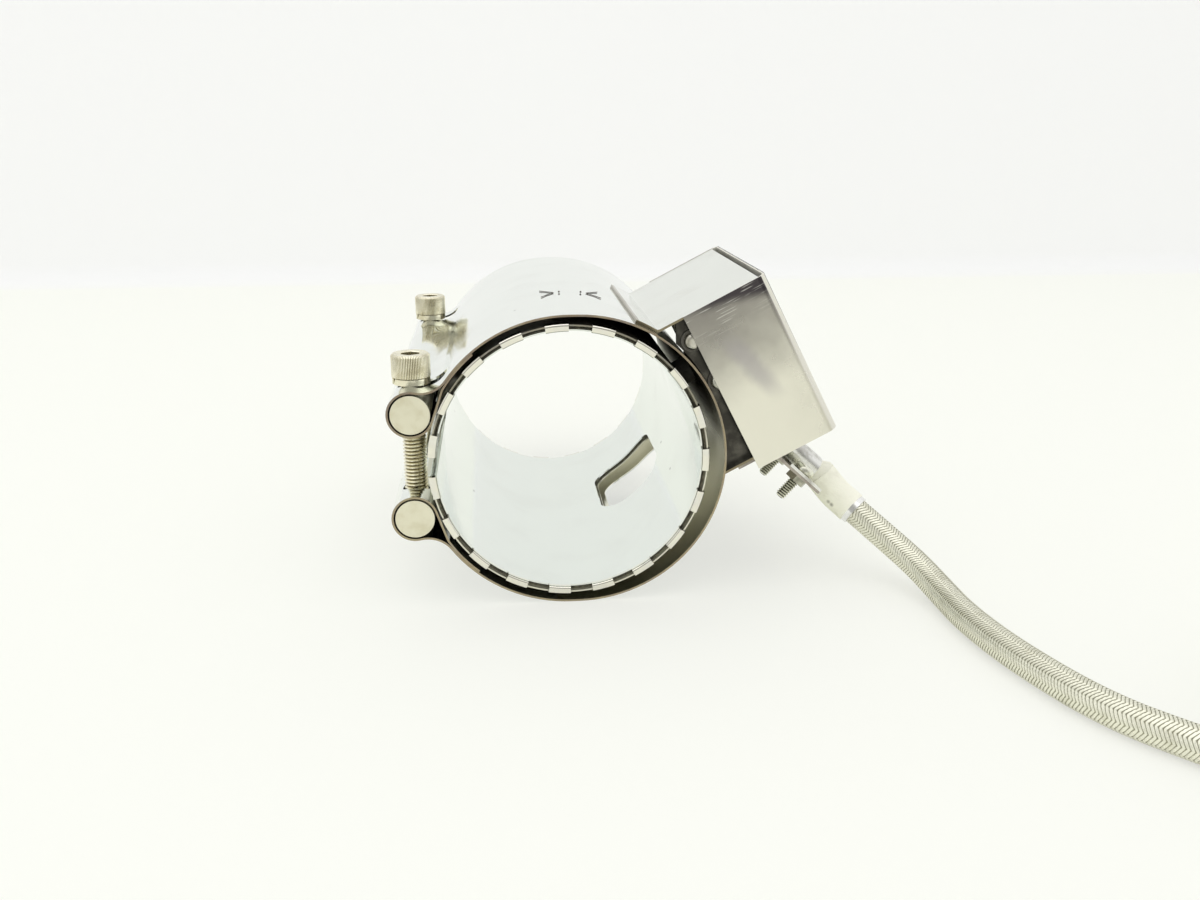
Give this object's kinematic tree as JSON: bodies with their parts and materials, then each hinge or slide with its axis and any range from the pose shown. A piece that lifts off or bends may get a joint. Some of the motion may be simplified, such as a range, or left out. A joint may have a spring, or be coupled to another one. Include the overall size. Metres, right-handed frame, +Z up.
{
  "type": "band heater",
  "caption": "Split cylindrical band heater in a full-width clamp strap with barrel-nut screws, an angled terminal box and a metal-braided supply lead.",
  "frame": {"origin": "on the bore axis at the middle of the band's width", "axes": "+Y along the bore, +Z up, terminal box towards +X"},
  "size_m": [0.3459, 0.3331, 0.1116],
  "materials": {
    "sheath_steel": "mirror-polished stainless sheet",
    "strap_steel": "mirror-polished stainless sheet",
    "box_steel": "bright rolled stainless sheet",
    "cover_steel": "stainless sheet with a brown heat tint",
    "clamp_steel": "bright stainless sheet",
    "mica": "pressed mica and ceramic fibre",
    "ribbon_alloy": "resistance ribbon",
    "barrel_nickel": "turned and nickel-plated",
    "fastener_steel": "zinc-plated steel",
    "terminal_nickel": "nickel-plated brass",
    "ceramic": "unglazed ceramic",
    "lead_sleeving": "woven glass sleeving",
    "fibreglass": "woven glass sleeving",
    "braid": "stainless wire overbraid",
    "ferrule_steel": "crimped bright steel"
  },
  "bodies": {
    "heater": {"inner_sheath": "sheath_steel", "outer_sheath": "sheath_steel", "clamp_strap": "strap_steel", "top_bracket": "box_steel", "bottom_bracket": "box_steel", "terminal_panel": "box_steel", "clamp_tongue": "clamp_steel", "cable_saddle": "clamp_steel", "inner_insulation": "mica", "outer_insulation": "mica", "heating_ribbon": "ribbon_alloy", "upper_barrel_front": "barrel_nickel", "upper_barrel_rear": "barrel_nickel", "lower_barrel_front": "barrel_nickel", "lower_barrel_rear": "barrel_nickel", "lock_washer_front": "fastener_steel", "lock_washer_rear": "fastener_steel", "saddle_screws": "fastener_steel", "saddle_nuts": "fastener_steel", "strap_pins": "fastener_steel", "terminal_screws": "terminal_nickel", "terminal_nuts": "terminal_nickel", "heater_ring_terminals": "terminal_nickel", "supply_ring_terminals": "terminal_nickel", "terminal_insulators": "ceramic", "lead_bushing": "ceramic", "heater_leads": "lead_sleeving", "supply_leads": "lead_sleeving", "lead_tails": "lead_sleeving", "cable_sleeve": "fibreglass", "cable": "braid", "cable_coil": "braid", "braid_ferrule": "ferrule_steel", "end_ferrule": "ferrule_steel"},
    "front_screw": {"clamp_screw_front": "fastener_steel"},
    "rear_screw": {"clamp_screw_rear": "fastener_steel"},
    "cover": {"box_cover": "cover_steel"}
  },
  "joints": [
    {"name": "front_screw_turn", "type": "hinge", "parent": "heater", "child": "front_screw", "pos_m": [-0.05206, -0.0618, 0], "axis": [0, 0, 1], "continuous": true},
    {"name": "rear_screw_turn", "type": "hinge", "parent": "heater", "child": "rear_screw", "pos_m": [-0.05206, 0.0618, 0], "axis": [0, 0, 1], "continuous": true},
    {"name": "cover_slide", "type": "slide", "parent": "heater", "child": "cover", "axis": [0.887, 0, 0.4617], "range_m": [0, 0.045]}
  ]
}
